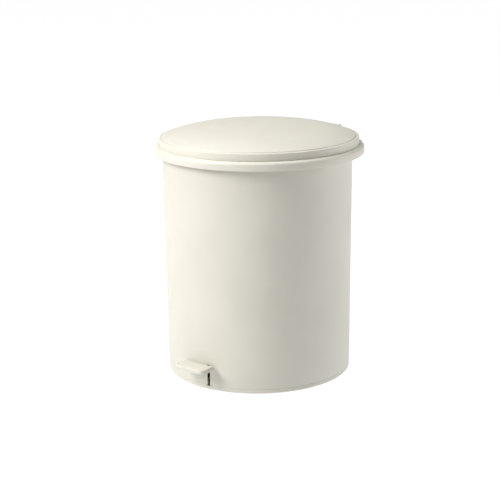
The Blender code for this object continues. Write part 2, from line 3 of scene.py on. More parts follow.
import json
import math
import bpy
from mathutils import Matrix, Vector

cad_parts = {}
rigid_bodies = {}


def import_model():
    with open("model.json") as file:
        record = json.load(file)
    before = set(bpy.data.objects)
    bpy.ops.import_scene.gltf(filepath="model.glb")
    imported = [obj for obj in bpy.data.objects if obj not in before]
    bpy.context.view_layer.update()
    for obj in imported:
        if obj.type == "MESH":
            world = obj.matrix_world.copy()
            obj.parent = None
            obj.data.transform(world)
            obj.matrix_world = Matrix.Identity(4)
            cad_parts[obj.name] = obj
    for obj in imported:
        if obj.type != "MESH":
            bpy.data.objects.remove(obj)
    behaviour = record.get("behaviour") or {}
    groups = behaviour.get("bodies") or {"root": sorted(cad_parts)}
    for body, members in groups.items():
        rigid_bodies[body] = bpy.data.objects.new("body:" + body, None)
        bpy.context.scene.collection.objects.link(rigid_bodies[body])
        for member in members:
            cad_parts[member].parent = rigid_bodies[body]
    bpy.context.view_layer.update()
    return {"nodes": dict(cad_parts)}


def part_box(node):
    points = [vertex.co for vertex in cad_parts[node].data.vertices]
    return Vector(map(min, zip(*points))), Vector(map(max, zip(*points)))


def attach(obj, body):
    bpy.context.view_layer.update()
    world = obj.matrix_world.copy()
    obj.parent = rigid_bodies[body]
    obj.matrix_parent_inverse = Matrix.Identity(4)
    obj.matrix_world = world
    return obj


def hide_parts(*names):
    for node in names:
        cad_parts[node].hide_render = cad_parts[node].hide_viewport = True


bl_info = {
    "name": "Pedal trash can",
    "version": (1, 0, 0),
    "blender": (4, 5, 0),
    "location": "3D View > Sidebar > Pedal Can",
    "description": "Builds the visible pieces of a pedal trash can around its packed frame",
    "category": "Add Mesh",
}

import bmesh
import bpy
from bpy.props import FloatProperty, FloatVectorProperty, IntProperty, PointerProperty
from mathutils import Matrix, Vector

for old in list(bpy.data.objects):
    bpy.data.objects.remove(old, do_unlink=True)

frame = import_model()
MM = 0.001
FINE = 224


def side(node, corner, axis):
    """One coordinate of a frame piece's box, in millimetres."""
    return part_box(node)[corner][axis] / MM


COLLAR_R = side("collar_ring", 1, 0)
COLLAR_LOW = 297.8
COLLAR_TOP = side("collar_ring", 0, 2) + 22.0
BODY_R = side("base_plate", 1, 0)
BODY_TOP_R = side("outer_shell", 1, 0)
BODY_TOP = side("outer_shell", 1, 2)
LID_R = side("lid", 1, 0)
LID_LOW = COLLAR_TOP + 0.3
LID_RIM = LID_LOW + 9.8
DOME_RISE = side("lid", 1, 2) - LID_RIM - 1.0
OFFSET = 4.4
HINGE = (139.0, COLLAR_TOP + 2.2)
HINGE_HALF = 36.0
KNUCKLE = 19.5
HINGE_BLOCK_R = 7.9
LID_BACK_GAP = 8.4
LID_STEP = 4.4
LID_WALL = 2.0
PIN_WAY_R = 2.3
PIVOT = (-30.0, 25.0)
SEAM = 0.24  # how far an edge reaches down to close a visible seam
LEVER_X = (side("pedal_lever", 0, 0) + side("pedal_lever", 1, 0)) / 2
PAD_TOP = side("pedal_pad", 1, 2)
PAD_FRONT = side("pedal_pad", 0, 1)
BUCKET_FLANGE = side("inner_bucket", 1, 0)
BUCKET_LOW = side("inner_bucket", 0, 2)
BAIL_Z = (side("bucket_bail", 0, 2) + side("bucket_bail", 1, 2)) / 2
HALF_SWING = math.radians(35.0)


def body_r(z):
    return BODY_R + (BODY_TOP_R - BODY_R) * z / BODY_TOP


def arc_of(centre, radius, angles):
    """Points of an arc round centre, at these angles in degrees."""
    turns = [math.radians(a) for a in angles]
    return [(centre[0] + radius * math.cos(a), centre[1] + radius * math.sin(a)) for a in turns]


# ---------------------------------------------------------------- sizes and finishes

LENGTH = {"min": 0.0, "subtype": "DISTANCE", "unit": "LENGTH"}
COLOUR = {"size": 3, "min": 0, "max": 1, "subtype": "COLOR"}
POWER = {"min": 0, "subtype": "POWER", "unit": "POWER"}


class PedalCanSizes(bpy.types.PropertyGroup):
    """Sizes of the visible details that the frame leaves free."""

    shell_edge: FloatProperty(
        name="Shell edge", description="Radius of the shell's lower edge", default=0.0003, **LENGTH,
    )
    collar_round: FloatProperty(
        name="Collar round", description="Radius of the collar's upper outer edge", default=0.0045,
        **LENGTH,
    )
    rim_round: FloatProperty(
        name="Lid rim round", description="Radius of the lid's upper outer edge", default=0.0013,
        **LENGTH,
    )
    dome_power: FloatProperty(
        name="Dome power", description="How square-shouldered the lid's dome is", default=3.4, min=1.5,
        max=8.0,
    )
    pad_corner: FloatProperty(
        name="Pad corner", description="Radius of the pad's front corners seen from above",
        default=0.0075, **LENGTH,
    )
    gussets: IntProperty(
        name="Collar gussets", description="Number of small gussets under the collar", default=36, min=0,
        max=90,
    )
    lid_ribs: IntProperty(
        name="Lid ribs", description="Number of radial ribs under the lid", default=12, min=0, max=48,
    )
    base_ribs: IntProperty(
        name="Base ribs", description="Number of radial ribs under the base", default=16, min=0, max=48,
    )
    grip_rings: IntProperty(
        name="Grip rings", description="Number of finger rings on the bail grip", default=9, min=1,
        max=40,
    )


class PedalCanFinish(bpy.types.PropertyGroup):
    """Colours and gloss of the finishes."""

    cream: FloatVectorProperty(
        name="Cream plastic", description="Colour of the moulded cream pieces",
        default=(0.66, 0.640, 0.566), **COLOUR,
    )
    bucket: FloatVectorProperty(
        name="Bucket plastic", description="Colour of the inner bucket", default=(0.16, 0.165, 0.165),
        **COLOUR,
    )
    steel: FloatVectorProperty(
        name="Plated steel", description="Colour of wires, pins and lever", default=(0.62, 0.62, 0.60),
        **COLOUR,
    )
    rubber: FloatVectorProperty(
        name="Rubber", description="Colour of feet, stops and rings", default=(0.022, 0.022, 0.022),
        **COLOUR,
    )
    grey: FloatVectorProperty(
        name="Grey plastic", description="Colour of guides and grip", default=(0.11, 0.11, 0.108),
        **COLOUR,
    )
    cream_rough: FloatProperty(
        name="Cream roughness", description="Roughness of the cream plastic", default=0.46, min=0, max=1,
        subtype="FACTOR",
    )


class PedalCanStudio(bpy.types.PropertyGroup):
    """Camera and lights."""

    azimuth: FloatProperty(
        name="Azimuth", description="Camera angle round the can from the pedal side",
        default=math.radians(38.5), subtype="ANGLE", unit="ROTATION",
    )
    elevation: FloatProperty(
        name="Elevation", description="Camera angle above the aim point", default=math.radians(14.763),
        subtype="ANGLE", unit="ROTATION",
    )
    distance: FloatProperty(
        name="Distance", description="Camera distance from the aim point", default=1.8175, min=0.3,
        subtype="DISTANCE", unit="LENGTH",
    )
    roll: FloatProperty(
        name="Roll", description="Camera roll", default=math.radians(0.59), subtype="ANGLE",
        unit="ROTATION",
    )
    lens: FloatProperty(
        name="Lens", description="Focal length in millimetres on a 36 mm sensor", default=96.29, min=20,
        max=300,
    )
    key: FloatProperty(
        name="Key light", description="Power of the large light at the left", default=50.0, **POWER,
    )
    fill: FloatProperty(
        name="Fill light", description="Power of the weak light at the right", default=13.5, **POWER,
    )
    top: FloatProperty(
        name="Top light", description="Power of the soft light overhead", default=29.0, **POWER,
    )


def settings():
    scene = bpy.context.scene
    return scene.pedal_can_sizes, scene.pedal_can_finish, scene.pedal_can_studio


# ---------------------------------------------------------------- materials


def graph(name):
    material = bpy.data.materials.get(name)
    if material:
        return material, None, None, None
    material = bpy.data.materials.new(name)
    material.use_nodes = True
    nodes, links = material.node_tree.nodes, material.node_tree.links
    return material, nodes, links, nodes["Principled BSDF"]


def noise(nodes, links, coords, scale, detail=3.0, rough=0.5, stretch=None):
    node = nodes.new("ShaderNodeTexNoise")
    node.inputs["Scale"].default_value = scale
    node.inputs["Detail"].default_value = detail
    node.inputs["Roughness"].default_value = rough
    source = coords.outputs["Object"]
    if stretch:
        mapping = nodes.new("ShaderNodeMapping")
        mapping.inputs["Scale"].default_value = stretch
        links.new(source, mapping.inputs["Vector"])
        source = mapping.outputs["Vector"]
    links.new(source, node.inputs["Vector"])
    return node.outputs["Fac"]


def span(nodes, links, value, low, high, out_low, out_high):
    node = nodes.new("ShaderNodeMapRange")
    for key, number in (("From Min", low), ("From Max", high), ("To Min", out_low), ("To Max", out_high)):
        node.inputs[key].default_value = number
    links.new(value, node.inputs["Value"])
    return node.outputs["Result"]


def bump(nodes, links, shader, layers):
    """Stacks bump layers of (height, distance in metres, strength)."""
    last = None
    for height, distance, strength in layers:
        node = nodes.new("ShaderNodeBump")
        node.inputs["Distance"].default_value = distance
        node.inputs["Strength"].default_value = strength
        links.new(height, node.inputs["Height"])
        if last:
            links.new(last, node.inputs["Normal"])
        last = node.outputs["Normal"]
    links.new(last, shader.inputs["Normal"])


def tint(nodes, links, factor, a, b, socket):
    mix = nodes.new("ShaderNodeMix")
    mix.data_type = "RGBA"
    mix.inputs["A"].default_value = (*a, 1)
    mix.inputs["B"].default_value = (*b, 1)
    links.new(factor, mix.inputs["Factor"])
    links.new(mix.outputs["Result"], socket)


def moulded_plastic(name, colour, rough, grain=0.00003, variation=0.03, coat=0.0, soft=0.0):
    """Moulded plastic: slow tone drift, flow marks in the gloss and fine spark-eroded grain."""
    material, nodes, links, shader = graph(name)
    if nodes is None:
        return material
    coords = nodes.new("ShaderNodeTexCoord")
    drift = noise(nodes, links, coords, 14, 2.0)
    cloud = noise(nodes, links, coords, 60, 4.0, 0.6)
    grain_fine = noise(nodes, links, coords, 2600, 2.0)
    grain_wide = noise(nodes, links, coords, 850, 3.0, 0.6)
    dark = [c * (1 - variation) for c in colour]
    light = [min(1, c * (1 + variation)) for c in colour]
    both = nodes.new("ShaderNodeMath")
    both.operation = "MULTIPLY_ADD"
    links.new(cloud, both.inputs[0])
    both.inputs[1].default_value = 0.35
    links.new(span(nodes, links, drift, 0.35, 0.65, 0.0, 0.65), both.inputs[2])
    tint(nodes, links, both.outputs[0], dark, light, shader.inputs["Base Color"])
    links.new(span(nodes, links, cloud, 0.3, 0.7, rough - 0.035, rough + 0.035), shader.inputs["Roughness"])
    bump(
        nodes, links, shader,
        [(drift, 0.0006, 0.12), (grain_wide, grain, 0.35), (grain_fine, grain * 0.6, 0.3)],
    )
    shader.inputs["IOR"].default_value = 1.5
    shader.inputs["Coat Weight"].default_value = coat
    shader.inputs["Subsurface Weight"].default_value = soft
    shader.inputs["Subsurface Radius"].default_value = (0.004, 0.003, 0.002)
    shader.inputs["Subsurface Scale"].default_value = 1.0
    return material


def plated_steel(name, colour, rough, along):
    """Zinc-plated steel with drawing lines along the given axis, fine scratches and a faint tarnish."""
    material, nodes, links, shader = graph(name)
    if nodes is None:
        return material
    coords = nodes.new("ShaderNodeTexCoord")
    stretch = [1.0, 1.0, 1.0]
    stretch[along] = 0.03
    lines = noise(nodes, links, coords, 1800, 3.0, 0.6, stretch)
    tarnish = noise(nodes, links, coords, 110, 4.0, 0.6)
    tint(
        nodes, links, span(nodes, links, tarnish, 0.35, 0.7, 0, 1), [c * 0.86 for c in colour], colour,
        shader.inputs["Base Color"],
    )
    links.new(span(nodes, links, lines, 0.3, 0.7, rough - 0.07, rough + 0.1), shader.inputs["Roughness"])
    bump(nodes, links, shader, [(lines, 0.00002, 0.4), (tarnish, 0.0001, 0.1)])
    shader.inputs["Metallic"].default_value = 1.0
    return material


def matt_rubber(name, colour):
    """Rubber: dusty tone, pitted skin."""
    material, nodes, links, shader = graph(name)
    if nodes is None:
        return material
    coords = nodes.new("ShaderNodeTexCoord")
    dust = noise(nodes, links, coords, 240, 4.0, 0.65)
    pits = noise(nodes, links, coords, 1900, 2.0)
    tint(
        nodes, links, span(nodes, links, dust, 0.4, 0.75, 0, 1), colour, [c * 2.4 for c in colour],
        shader.inputs["Base Color"],
    )
    links.new(span(nodes, links, dust, 0.3, 0.7, 0.66, 0.86), shader.inputs["Roughness"])
    bump(nodes, links, shader, [(pits, 0.00006, 0.5)])
    return material


def cream():
    _, finish, _ = settings()
    return moulded_plastic("satin_cream_plastic", finish.cream, finish.cream_rough, soft=0.06)


def paint(obj, material):
    obj.data.materials.clear()
    obj.data.materials.append(material)
    for polygon in obj.data.polygons:
        polygon.material_index = 0


def dress(node, material):
    """Gives a frame piece its finish."""
    paint(frame["nodes"][node], material)


# ---------------------------------------------------------------- mesh tools


def rounded(points, steps=5, closed=True):
    """A polygon whose corners of (a, b, radius) are rounded off."""
    out = []
    n = len(points)
    for i, (a, b, r) in enumerate(points):
        if r <= 0 or (not closed and i in (0, n - 1)):
            out.append((a, b))
            continue
        p = Vector((a, b))
        u = Vector(points[i - 1][:2]) - p
        v = Vector(points[(i + 1) % n][:2]) - p
        lu, lv = u.length, v.length
        u.normalize()
        v.normalize()
        angle = u.angle(v)
        t = min(r / math.tan(angle / 2), 0.46 * lu, 0.46 * lv)
        r = t * math.tan(angle / 2)
        bisector = (u + v).normalized()
        centre = p + bisector * (r / math.sin(angle / 2))
        start, end = p + u * t - centre, p + v * t - centre
        first = math.atan2(start.y, start.x)
        turn = (math.atan2(end.y, end.x) - first + math.pi) % (2 * math.pi) - math.pi
        for k in range(steps + 1):
            q = first + turn * k / steps
            out.append((centre.x + r * math.cos(q), centre.y + r * math.sin(q)))
    return out


def mesh_object(name, points, faces, angle=32.0):
    mesh = bpy.data.meshes.new(name)
    mesh.from_pydata([[c * MM for c in p] for p in points], [], faces)
    mesh.update()
    obj = bpy.data.objects.new(name, mesh)
    bpy.context.scene.collection.objects.link(obj)
    tidy(obj, angle)
    return obj


def tidy(obj, angle=32.0):
    """Merges doubles, points the faces outwards and smooths them below the angle."""
    work = bmesh.new()
    work.from_mesh(obj.data)
    bmesh.ops.remove_doubles(work, verts=work.verts, dist=2e-6)
    bmesh.ops.dissolve_degenerate(work, dist=1e-6, edges=work.edges)
    bmesh.ops.recalc_face_normals(work, faces=work.faces)
    work.to_mesh(obj.data)
    work.free()
    smooth(obj, angle)


def smooth(obj, angle=32.0):
    obj.data.polygons.foreach_set("use_smooth", [True] * len(obj.data.polygons))
    obj.data.set_sharp_from_angle(angle=math.radians(angle))
    obj.data.update()


def circle(centre, radius, sides=48):
    turns = [2 * math.pi * k / sides for k in range(sides)]
    return [(centre[0] + radius * math.cos(a), centre[1] + radius * math.sin(a)) for a in turns]


def lathe(name, profile, centre=(0.0, 0.0), steps=FINE, angle=32.0):
    """A closed (radius, z) profile turned about a vertical axis. Radius 0 closes on the axis."""
    points, faces, rings = [], [], []
    for r, z in profile:
        if r < 1e-6:
            rings.append([len(points)] * steps)
            points.append((centre[0], centre[1], z))
            continue
        rings.append(list(range(len(points), len(points) + steps)))
        points += [(x, y, z) for x, y in circle(centre, r, steps)]
    n = len(rings)
    for i in range(n):
        a, b = rings[i], rings[(i + 1) % n]
        if a[0] == a[1] and b[0] == b[1]:
            continue
        for k in range(steps):
            m = (k + 1) % steps
            corner = [a[k], a[m], b[m], b[k]]
            corner = [c for j, c in enumerate(corner) if c not in corner[:j]]
            if len(corner) > 2:
                faces.append(tuple(corner))
    return mesh_object(name, points, faces, angle)


def prism(name, outline, low, high, axis, angle=32.0):
    """An outline extruded along x from (y, z) pairs, or along z from (x, y) pairs."""
    n = len(outline)
    place = (lambda p, t: (t, p[0], p[1])) if axis == "x" else (lambda p, t: (p[0], p[1], t))
    points = [place(p, low) for p in outline] + [place(p, high) for p in outline]
    faces = [tuple(range(n)), tuple(range(n, 2 * n))] + [
        (i, (i + 1) % n, (i + 1) % n + n, i + n)
        for i in range(n)
    ]
    return mesh_object(name, points, faces, angle)


def block(name, low, high, radius=0.0):
    outline = rounded(
        [
            (low[1], low[2], radius), (high[1], low[2], radius), (high[1], high[2], radius),
            (low[1], high[2], radius),
        ]
    )
    return prism(name, outline, low[0], high[0], "x")


def bar(name, centre, radius, low, high, sides=48):
    return prism(name, circle(centre, radius, sides), low, high, "x")


def tube(name, path, radius, up, inner=0.0, sides=24, cap=0.0):
    """A wire with softened ends, or a sleeve when inner is given, along a flat path of points."""
    path = [Vector(p) for p in path]
    up = Vector(up)
    rings = []
    for k, p in enumerate(path):
        t = (path[min(k + 1, len(path) - 1)] - path[max(k - 1, 0)]).normalized()
        across = up.cross(t).normalized()
        rings.append((p, t, across))
    loops = []

    def loop(p, across, r):
        turns = [2 * math.pi * j / sides for j in range(sides)]
        loops.append([tuple(p + across * (r * math.cos(a)) + up * (r * math.sin(a))) for a in turns])

    def tip(p, t, across, share):
        loop(p + t * cap * share * 0.9, across, radius - cap * (1 - math.sqrt(max(0, 1 - (1 - share) ** 2))))

    fractions = (0.0, 0.35, 0.7) if cap else ()
    p, t, across = rings[0]
    for f in fractions:
        tip(p, t, across, f / 0.7)
    for k, (p, t, across) in enumerate(rings):
        if cap and k in (0, len(rings) - 1):
            p = p + t * (cap if k == 0 else -cap)
        loop(p, across, radius)
    p, t, across = rings[-1]
    for f in reversed(fractions):
        tip(p, -t, across, f / 0.7)
    outer = len(loops)
    if inner:
        for p, t, across in reversed(rings):
            loop(p, across, inner)
    points = [q for ring in loops for q in ring]
    faces = []
    count = len(loops)
    for k in range(count if inner else count - 1):
        a, b = k * sides, ((k + 1) % count) * sides
        faces += [(a + j, a + (j + 1) % sides, b + (j + 1) % sides, b + j) for j in range(sides)]
    if not inner:
        faces += [tuple(range(sides)), tuple(range((outer - 1) * sides, outer * sides))]
    return mesh_object(name, points, faces, 40)


def combine(obj, others, operation):
    """Cuts the others from obj, or joins them to it, and removes them."""
    for other in others:
        step = obj.modifiers.new(other.name, "BOOLEAN")
        step.operation = operation
        step.solver = "EXACT"
        step.object = other
    settle(obj)
    for other in others:
        bpy.data.objects.remove(other, do_unlink=True)
    smooth(obj)
    return obj


def settle(obj):
    """Turns the evaluated object into its plain mesh."""
    bpy.context.view_layer.update()
    evaluated = obj.evaluated_get(bpy.context.evaluated_depsgraph_get())
    made = bpy.data.meshes.new_from_object(evaluated)
    obj.modifiers.clear()
    obj.data = made
    made.name = obj.name
    return obj


def soften(obj, width=0.4, segments=3, angle=38.0):
    """A small round on every sharp edge."""
    step = obj.modifiers.new("edge", "BEVEL")
    step.width = width * MM
    step.segments = segments
    step.limit_method = "ANGLE"
    step.angle_limit = math.radians(angle)
    step.harden_normals = False
    settle(obj)
    smooth(obj, 40)
    return obj


def fit(obj, body, material, slot, *nodes):
    """Finishes a piece: material, body and the frame pieces it stands for. The slot argument is not used."""
    paint(obj, material)
    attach(obj, body)
    if nodes:
        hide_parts(*nodes)
    return obj


# ---------------------------------------------------------------- geometry nodes


def tree_of(name, inputs):
    """An empty tree with a geometry input, the named inputs and a geometry output."""
    tree = bpy.data.node_groups.new(name, "GeometryNodeTree")
    tree.interface.new_socket("Geometry", in_out="INPUT", socket_type="NodeSocketGeometry")
    for label, kind, value in inputs:
        socket = tree.interface.new_socket(label, in_out="INPUT", socket_type=kind)
        if value is not None:
            socket.default_value = value
    tree.interface.new_socket("Geometry", in_out="OUTPUT", socket_type="NodeSocketGeometry")
    return tree, tree.nodes.new("NodeGroupInput"), tree.nodes.new("NodeGroupOutput")


def run_tree(obj, tree, values):
    """Runs a tree on obj with its inputs set by name, and keeps the plain mesh."""
    step = obj.modifiers.new(tree.name, "NODES")
    step.node_group = tree
    for item in tree.interface.items_tree:
        if item.item_type == "SOCKET" and item.in_out == "INPUT" and item.name in values:
            step[item.identifier] = values[item.name]
    return settle(obj)


def ring_tree():
    """Repeats the incoming mesh round a vertical axis."""
    tree = bpy.data.node_groups.get("repeat_round_axis")
    if tree:
        return tree
    tree, source, out = tree_of(
        "repeat_round_axis",
        [
            ("Count", "NodeSocketInt", 12), ("First angle", "NodeSocketFloat", 0.0),
            ("Centre", "NodeSocketVector", None), ("Finish", "NodeSocketMaterial", None),
        ],
    )
    new, link = tree.nodes.new, tree.links.new
    line = new("GeometryNodeMeshLine")
    line.inputs["Offset"].default_value = (0, 0, 0)
    link(source.outputs["Count"], line.inputs["Count"])
    link(source.outputs["Centre"], line.inputs["Start Location"])
    index = new("GeometryNodeInputIndex")
    step = new("ShaderNodeMath")
    step.operation = "DIVIDE"
    step.inputs[0].default_value = 2 * math.pi
    link(source.outputs["Count"], step.inputs[1])
    turn = new("ShaderNodeMath")
    turn.operation = "MULTIPLY_ADD"
    link(index.outputs[0], turn.inputs[0])
    link(step.outputs[0], turn.inputs[1])
    link(source.outputs["First angle"], turn.inputs[2])
    euler = new("ShaderNodeCombineXYZ")
    link(turn.outputs[0], euler.inputs["Z"])
    place = new("GeometryNodeInstanceOnPoints")
    link(line.outputs["Mesh"], place.inputs["Points"])
    link(source.outputs["Geometry"], place.inputs["Instance"])
    link(euler.outputs[0], place.inputs["Rotation"])
    real = new("GeometryNodeRealizeInstances")
    link(place.outputs["Instances"], real.inputs["Geometry"])
    paint = new("GeometryNodeSetMaterial")
    link(real.outputs["Geometry"], paint.inputs["Geometry"])
    link(source.outputs["Finish"], paint.inputs["Material"])
    link(paint.outputs["Geometry"], out.inputs["Geometry"])
    return tree


def grip_tree():
    """A ringed sleeve along a half circle: the finger grip of the bail."""
    tree, source, out = tree_of(
        "ringed_grip",
        [
            ("Arc radius", "NodeSocketFloat", 0.09), ("Half angle", "NodeSocketFloat", 0.4),
            ("Thickness", "NodeSocketFloat", 0.004), ("Rings", "NodeSocketInt", 9),
            ("Finish", "NodeSocketMaterial", None),
        ],
    )
    new, link = tree.nodes.new, tree.links.new

    def maths(operation, a, b=None):
        node = new("ShaderNodeMath")
        node.operation = operation
        for socket, value in zip(node.inputs, (a, b)):
            if isinstance(value, (int, float)):
                socket.default_value = value
            elif value is not None:
                link(value, socket)
        return node.outputs[0]

    arc = new("GeometryNodeCurveArc")
    arc.inputs["Resolution"].default_value = 161
    link(source.outputs["Arc radius"], arc.inputs["Radius"])
    link(maths("SUBTRACT", -math.pi / 2, source.outputs["Half angle"]), arc.inputs["Start Angle"])
    link(maths("MULTIPLY", source.outputs["Half angle"], 2.0), arc.inputs["Sweep Angle"])
    along = new("GeometryNodeSplineParameter")
    wave = maths(
        "COSINE",
        maths(
            "MULTIPLY", maths("MULTIPLY", along.outputs["Factor"], source.outputs["Rings"]), 2 * math.pi,
        ),
    )
    from_end = maths("MINIMUM", along.outputs["Factor"], maths("SUBTRACT", 1.0, along.outputs["Factor"]))
    round_end = maths("POWER", maths("MINIMUM", maths("MULTIPLY", from_end, 26.0), 1.0), 0.4)
    size = maths(
        "MULTIPLY", maths("SUBTRACT", 0.94, maths("MULTIPLY", wave, 0.06)),
        maths("ADD", 0.55, maths("MULTIPLY", round_end, 0.45)),
    )
    scale = maths("MULTIPLY", size, source.outputs["Thickness"])
    ring = new("GeometryNodeCurvePrimitiveCircle")
    ring.inputs["Resolution"].default_value = 28
    ring.inputs["Radius"].default_value = 1.0
    sweep = new("GeometryNodeCurveToMesh")
    sweep.inputs["Fill Caps"].default_value = True
    if "Scale" in sweep.inputs:
        link(arc.outputs["Curve"], sweep.inputs["Curve"])
        link(scale, sweep.inputs["Scale"])
    else:
        radius = new("GeometryNodeSetCurveRadius")
        link(arc.outputs["Curve"], radius.inputs["Curve"])
        link(scale, radius.inputs["Radius"])
        link(radius.outputs["Curve"], sweep.inputs["Curve"])
    link(ring.outputs["Curve"], sweep.inputs["Profile Curve"])
    real = new("GeometryNodeRealizeInstances")
    link(sweep.outputs["Mesh"], real.inputs["Geometry"])
    paint = new("GeometryNodeSetMaterial")
    link(real.outputs["Geometry"], paint.inputs["Geometry"])
    link(source.outputs["Finish"], paint.inputs["Material"])
    link(paint.outputs["Geometry"], out.inputs["Geometry"])
    return tree


def round_axis(seed, name, count, first, centre, material):
    """Runs the repeat tree on one small seed mesh."""
    obj = run_tree(
        seed, ring_tree(),
        {"Count": count, "First angle": first, "Centre": [c * MM for c in centre], "Finish": material},
    )
    obj.name = name
    obj.data.name = name
    return obj


# ---------------------------------------------------------------- pieces


class PEDALCAN_OT_shell(bpy.types.Operator):
    """Body wall with its rounded lower edge, the lever's slit and the notch for the lid's lug"""

    bl_idname = "pedal_can.shell"
    bl_label = "Outer shell"

    def execute(self, context):
        sizes, _, _ = settings()
        low = side("outer_shell", 0, 2) - SEAM
        edge = sizes.shell_edge / MM
        wall = 1.5
        levels = [low + (BODY_TOP - low) * k / 12 for k in range(1, 12)]
        out = rounded(
            [
                (body_r(BODY_TOP) - wall, BODY_TOP, 0.3), (body_r(BODY_TOP), BODY_TOP, 0.5),
                (body_r(low), low, edge), (body_r(low) - wall, low, 0.3),
            ],
            4,
        )
        outer = [p for p in out if p[0] > body_r(p[1]) - wall / 2]
        inner = [p for p in out if p not in outer]
        outer = sorted(outer + [(body_r(z), z) for z in levels], key=lambda p: -p[1])
        inner = sorted(inner + [(body_r(z) - wall, z) for z in levels], key=lambda p: p[1])
        shell = lathe("outer_shell_moulded", outer + inner)
        half = 2.2
        slit = prism(
            "slit",
            rounded(
                [
                    (LEVER_X - half, 0, 0), (LEVER_X + half, 0, 0), (LEVER_X + half, PAD_TOP - 0.7, 1.6),
                    (LEVER_X - half, PAD_TOP - 0.7, 1.6),
                ]
            ),
            -140, -100, "z",
        )
        slit.data.transform(Matrix(((1, 0, 0, 0), (0, 0, 1, 0), (0, 1, 0, 0), (0, 0, 0, 1))))
        tidy(slit)
        notch = block("notch", (LEVER_X - 2.4, 116, 293), (LEVER_X + 2.4, 140, 320))
        combine(shell, [slit, notch], "DIFFERENCE")
        fit(shell, "can", cream(), "cream_shell", "outer_shell")
        return {"FINISHED"}


class PEDALCAN_OT_base(bpy.types.Operator):
    """Base with its rim, upstand, axle brackets and the ribs under the floor"""

    bl_idname = "pedal_can.base"
    bl_label = "Base"

    def execute(self, context):
        sizes, _, _ = settings()
        r = BODY_R
        profile = rounded(
            [
                (0, 6, 0), (r - 5.5, 6, 0.8), (r - 5.5, 15, 0.5), (r - 2.0, 15, 0.8), (r - 2.0, 6.5, 0.2),
                (r, 6.5, 0.15), (r - 0.1, 2.0, 1.0), (r - 1.2, 0.7, 0.6), (r - 4.0, 0.7, 0.6),
                (r - 4.0, 4.0, 0.8), (0, 4.0, 0),
            ],
            4,
        )
        base = lathe("base_plate_moulded", profile)
        outline = [(-41, 5.4, 0), (-19, 5.4, 0), (-24, 29, 3), (-26, 31, 3), (-34, 31, 3), (-36, 29, 3)]
        ears = [prism("ear", rounded(outline), x, x + 2.8, "x") for x in (LEVER_X - 5.0, LEVER_X + 2.2)]
        combine(base, ears, "UNION")
        cuts = [
            bar("axle_hole", PIVOT, 2.7, LEVER_X - 12, LEVER_X + 12),
            block("way_a", (LEVER_X - 4, -140, 5.4), (LEVER_X + 4, -119.2, 30)),
            block("way_b", (LEVER_X - 4, -119.5, 6.0), (LEVER_X + 4, -100, 30)),
            block("way_c", (LEVER_X - 9, 95, 6.01), (24.5, 140, 30)),
        ]
        combine(base, cuts, "DIFFERENCE")
        fit(base, "can", cream(), "cream_plastic", "base_plate")
        seed = soften(block("base_rib", (20, -0.8, 2.5), (r - 4.1, 0.8, 3.99)), 0.25, 2)
        ribs = round_axis(seed, "base_ribs", sizes.base_ribs, math.pi / 16, (0, 0, 0), cream())
        smooth(ribs)
        fit(ribs, "can", cream(), "cream_plastic")
        return {"FINISHED"}


class PEDALCAN_OT_feet(bpy.types.Operator):
    """Four rubber feet with a dished, grooved sole"""

    bl_idname = "pedal_can.feet"
    bl_label = "Feet"

    def execute(self, context):
        _, finish, _ = settings()
        rubber = matt_rubber("matt_rubber", finish.rubber)
        for k in range(4):
            a = math.radians(45 + 90 * k)
            profile = rounded(
                [
                    (0, 3.7, 0), (8.5, 3.7, 0.4), (8.5, 0.0, 0.8), (5.9, 0.0, 0.2), (5.7, 0.5, 0.2),
                    (4.7, 0.5, 0.2), (4.5, 0.0, 0.2), (3.0, 0.0, 0.3), (2.6, 0.9, 0.3), (0, 0.9, 0),
                ],
                3,
            )
            foot = lathe("foot_%d_moulded" % (k + 1), profile, (104 * math.cos(a), 104 * math.sin(a)), 64)
            fit(foot, "can", rubber, "black_rubber", "foot_%d" % (k + 1))
        return {"FINISHED"}


